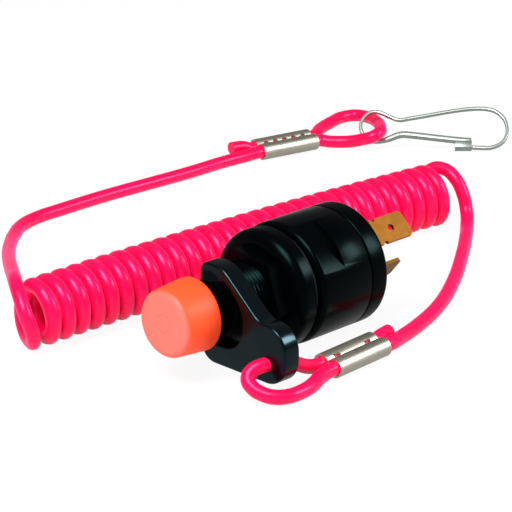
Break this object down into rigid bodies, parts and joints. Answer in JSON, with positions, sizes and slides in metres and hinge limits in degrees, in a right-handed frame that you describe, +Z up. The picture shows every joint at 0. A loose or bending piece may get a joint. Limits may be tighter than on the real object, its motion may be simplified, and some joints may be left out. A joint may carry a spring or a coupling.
{
  "type": "engine kill switch",
  "caption": "Push-button engine stop switch with a threaded neck, hex nut, spade terminals, and a pull-out clip on a coiled cord with a snap hook.",
  "frame": {"origin": "on the surface that the switch lies on, below the middle of the switch and its clip, measured without the cord and what hangs on it", "axes": "+X along the switch towards its terminals, -X towards its button, +Z up from the surface, +Y towards the coiled cord"},
  "size_m": [0.1858, 0.1245, 0.0273],
  "materials": {
    "satin_black": "satin",
    "gloss_black": "polished",
    "orange": "satin",
    "black_rubber": "matte",
    "red_cord": "glossy",
    "brass": "rolled",
    "nickel": "bright plate",
    "steel": "bright",
    "board": "matte"
  },
  "bodies": {
    "switch": {"housing": "satin_black", "rear_cap": "satin_black", "panel_nut": "satin_black", "panel_seal": "black_rubber", "contact_base": "board", "contact_stud_outer": "steel", "contact_stud_inner": "steel", "terminal_outer": "brass", "terminal_inner": "brass", "return_spring": "steel", "cord_coil": "red_cord", "cord_hook_lead": "red_cord", "ferrule_hook_end": "nickel", "snap_hook": "steel"},
    "button": {"button_cap": "orange", "plunger": "satin_black", "plunger_seal": "black_rubber", "contact_bridge": "brass", "contact_spring": "steel", "bridge_retainer": "steel"},
    "clip": {"lanyard_clip": "gloss_black", "ferrule_clip_end": "nickel", "cord_clip_lead": "red_cord"}
  },
  "joints": [
    {"name": "button_press", "type": "slide", "parent": "switch", "child": "button", "axis": [1, 0, 0], "range_m": [0, 0.002], "stiffness_N_per_m": 1500, "springref_m": -0.002, "deforming": ["return_spring"]},
    {"name": "clip_pull", "type": "slide", "parent": "switch", "child": "clip", "axis": [0, -1, 0], "range_m": [0, 0.02]}
  ]
}
